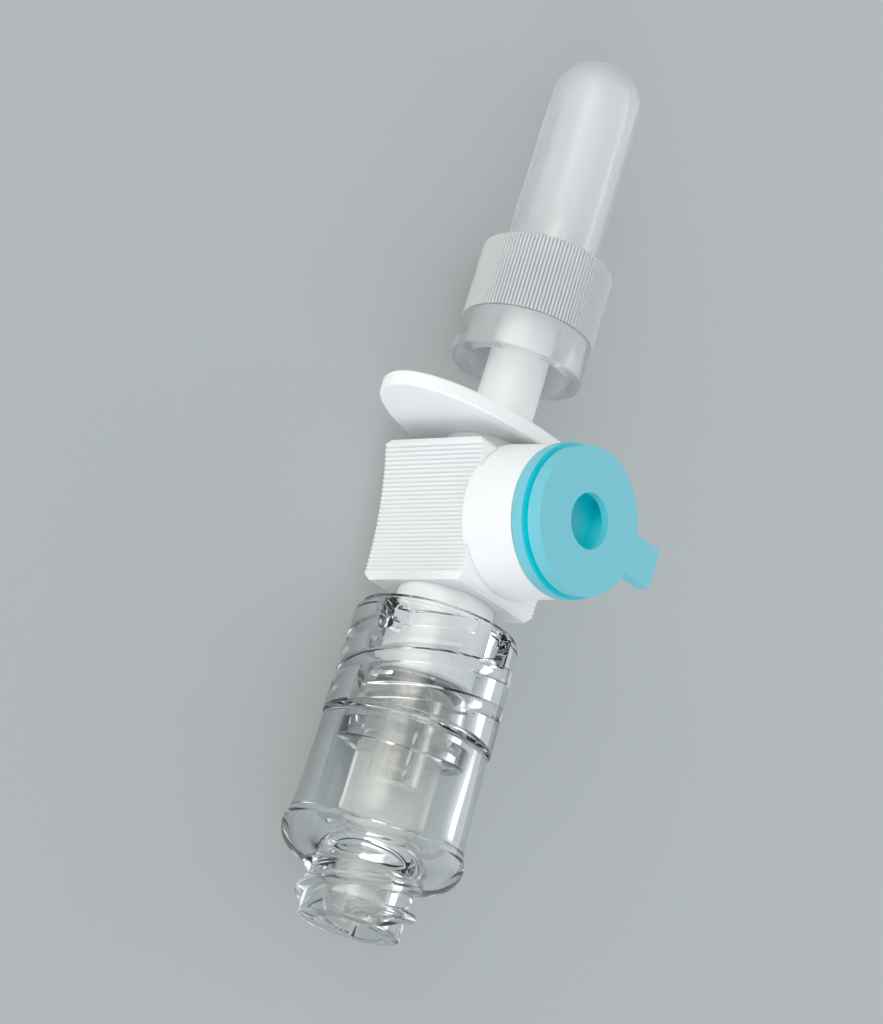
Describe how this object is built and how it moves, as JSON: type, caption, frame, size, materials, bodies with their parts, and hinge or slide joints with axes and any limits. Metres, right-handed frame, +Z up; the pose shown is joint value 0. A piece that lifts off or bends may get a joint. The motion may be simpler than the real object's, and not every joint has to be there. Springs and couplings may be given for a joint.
{
  "type": "dispensing spike",
  "caption": "Vial spike under a ribbed domed cover, with an oval finger flange, ribbed grip block, filtered side vent with a round cap, and a clear threaded valve below.",
  "frame": {"origin": "middle of the box's bottom: the device lies on its back on the floor at z = 0", "axes": "-X is the way the spike points, +X the way the luer mouth points, +Z is up, the way the vent points"},
  "size_m": [0.0612, 0.0198, 0.0154],
  "materials": {
    "white_abs": "satin",
    "filter_membrane": "matte",
    "teal_abs": "satin",
    "milky_polythene": "translucent",
    "clear_polycarbonate": "clear",
    "silicone": "translucent"
  },
  "bodies": {
    "root": {"spike_body": "white_abs", "vent_membrane": "filter_membrane", "vent_cap": "teal_abs", "spike_cover": "milky_polythene", "valve_base": "clear_polycarbonate", "valve_seal": "silicone", "valve_housing": "clear_polycarbonate"}
  },
  "joints": []
}
